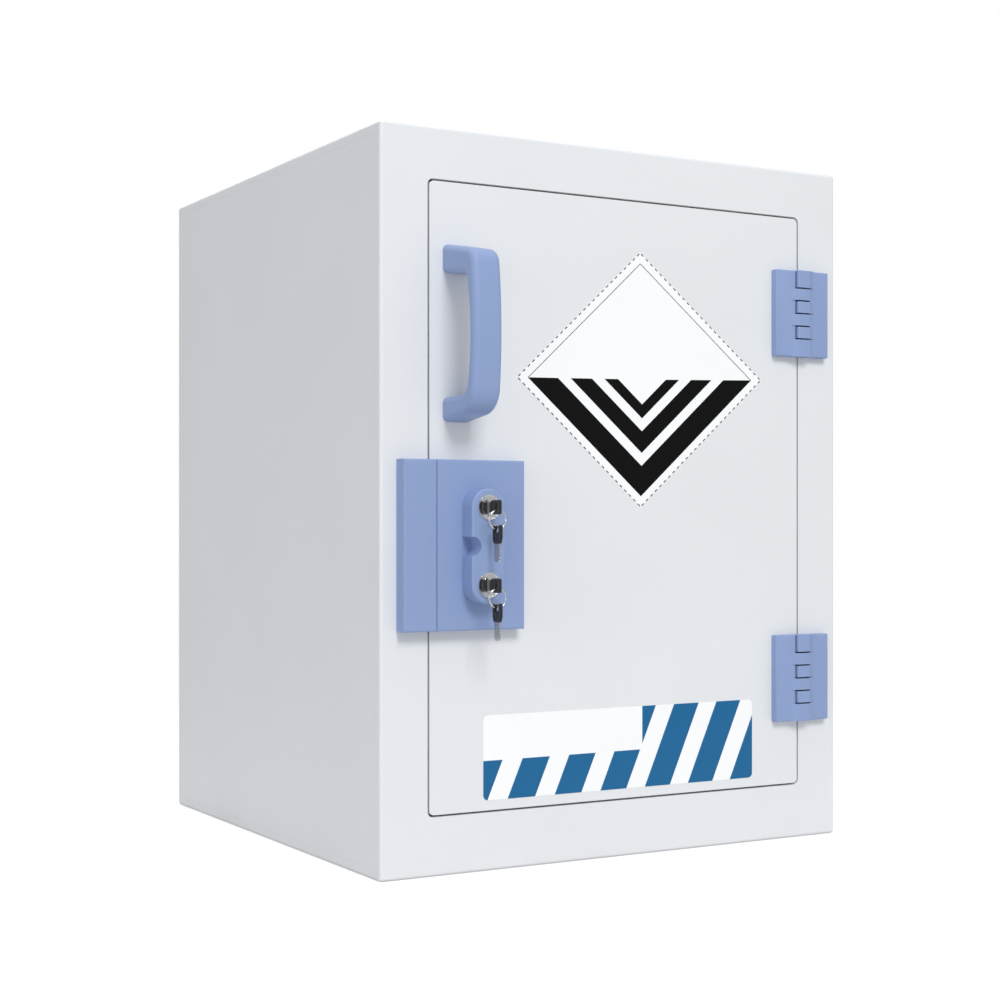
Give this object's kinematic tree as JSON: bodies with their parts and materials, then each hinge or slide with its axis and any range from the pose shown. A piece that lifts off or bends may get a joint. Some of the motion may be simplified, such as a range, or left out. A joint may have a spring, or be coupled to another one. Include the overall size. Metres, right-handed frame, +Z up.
{
  "type": "bench-top corrosives cabinet",
  "caption": "Bench-top plastic safety cabinet with one flush hinged door, bridge handle, block hinges and a two-cylinder key lock.",
  "frame": {"origin": "centre of the underside that stands on the bench", "axes": "+X to the hinge side as seen from the front, +Y to the back, +Z up; the door is on the -Y side"},
  "size_m": [0.43, 0.4795, 0.56],
  "materials": {
    "white_sheet": "welded polypropylene sheet, faint satin grain",
    "blue_plastic": "moulded, fine matt texture",
    "steel": "plain stainless steel",
    "chrome": "bright chrome plate",
    "black_plastic": "moulded, satin"
  },
  "bodies": {
    "cabinet": {"side_panel_left": "white_sheet", "side_panel_right": "white_sheet", "top_panel": "white_sheet", "bottom_panel": "white_sheet", "back_panel": "white_sheet", "front_frame": "white_sheet", "rebate_ring": "white_sheet", "weld_beads": "white_sheet", "sump_tray": "white_sheet", "shelf": "white_sheet", "shelf_rails": "white_sheet", "hinge_upper_frame_leaf": "blue_plastic", "hinge_lower_frame_leaf": "blue_plastic", "hinge_upper_pin": "steel", "hinge_lower_pin": "steel", "hinge_frame_screws": "steel", "keeper": "blue_plastic", "keeper_screws": "steel"},
    "door": {"door_panel": "white_sheet", "door_core": "white_sheet", "door_inner_panel": "white_sheet", "handle": "blue_plastic", "handle_screws": "steel", "lock_case": "blue_plastic", "lock_case_screws": "steel", "lock_boss": "blue_plastic", "upper_lock_housing": "chrome", "lower_lock_housing": "chrome", "upper_lock_nut": "steel", "lower_lock_nut": "steel", "hinge_upper_door_leaf": "blue_plastic", "hinge_lower_door_leaf": "blue_plastic", "hinge_door_screws": "steel"},
    "upper_cylinder": {"upper_plug": "chrome", "upper_crank": "steel", "upper_key_blade": "steel", "upper_key_bow": "black_plastic"},
    "upper_bolt": {"upper_bolt": "steel"},
    "upper_ring": {"upper_key_ring": "chrome"},
    "upper_spare": {"upper_spare_key_blade": "steel", "upper_spare_key_bow": "black_plastic"},
    "lower_cylinder": {"lower_plug": "chrome", "lower_crank": "steel", "lower_key_blade": "steel", "lower_key_bow": "black_plastic"},
    "lower_bolt": {"lower_bolt": "steel"},
    "lower_ring": {"lower_key_ring": "chrome"},
    "lower_spare": {"lower_spare_key_blade": "steel", "lower_spare_key_bow": "black_plastic"}
  },
  "joints": [
    {"name": "door_hinge", "type": "hinge", "parent": "cabinet", "child": "door", "pos_m": [0.175, -0.2222, 0], "axis": [0, 0, 1], "range_deg": [0, 170]},
    {"name": "upper_key_turn", "type": "hinge", "parent": "door", "child": "upper_cylinder", "pos_m": [-0.139, -0.235, 0.2755], "axis": [0, 1, 0], "range_deg": [0, 90]},
    {"name": "upper_bolt_slide", "type": "slide", "parent": "door", "child": "upper_bolt", "axis": [-1, 0, 0], "range_m": [0, 0.0091]},
    {"name": "upper_ring_swing", "type": "hinge", "parent": "upper_cylinder", "child": "upper_ring", "pos_m": [-0.139, -0.2557, 0.27005], "axis": [0, 1, 0], "range_deg": [-90, 0]},
    {"name": "upper_spare_swing", "type": "hinge", "parent": "upper_ring", "child": "upper_spare", "pos_m": [-0.139, -0.2557, 0.2593], "axis": [0, 1, 0], "range_deg": [-12, 12]},
    {"name": "lower_key_turn", "type": "hinge", "parent": "door", "child": "lower_cylinder", "pos_m": [-0.139, -0.235, 0.2177], "axis": [0, 1, 0], "range_deg": [0, 90]},
    {"name": "lower_bolt_slide", "type": "slide", "parent": "door", "child": "lower_bolt", "axis": [-1, 0, 0], "range_m": [0, 0.0091]},
    {"name": "lower_ring_swing", "type": "hinge", "parent": "lower_cylinder", "child": "lower_ring", "pos_m": [-0.139, -0.2557, 0.21225], "axis": [0, 1, 0], "range_deg": [-90, 0]},
    {"name": "lower_spare_swing", "type": "hinge", "parent": "lower_ring", "child": "lower_spare", "pos_m": [-0.139, -0.2557, 0.2015], "axis": [0, 1, 0], "range_deg": [-12, 12]}
  ],
  "couplings": [
    {"joint": "upper_bolt_slide", "follows": "upper_key_turn", "m_per_rad": 0.005762},
    {"joint": "upper_ring_swing", "follows": "upper_key_turn", "ratio": -1},
    {"joint": "lower_bolt_slide", "follows": "lower_key_turn", "m_per_rad": 0.005762},
    {"joint": "lower_ring_swing", "follows": "lower_key_turn", "ratio": -1}
  ]
}
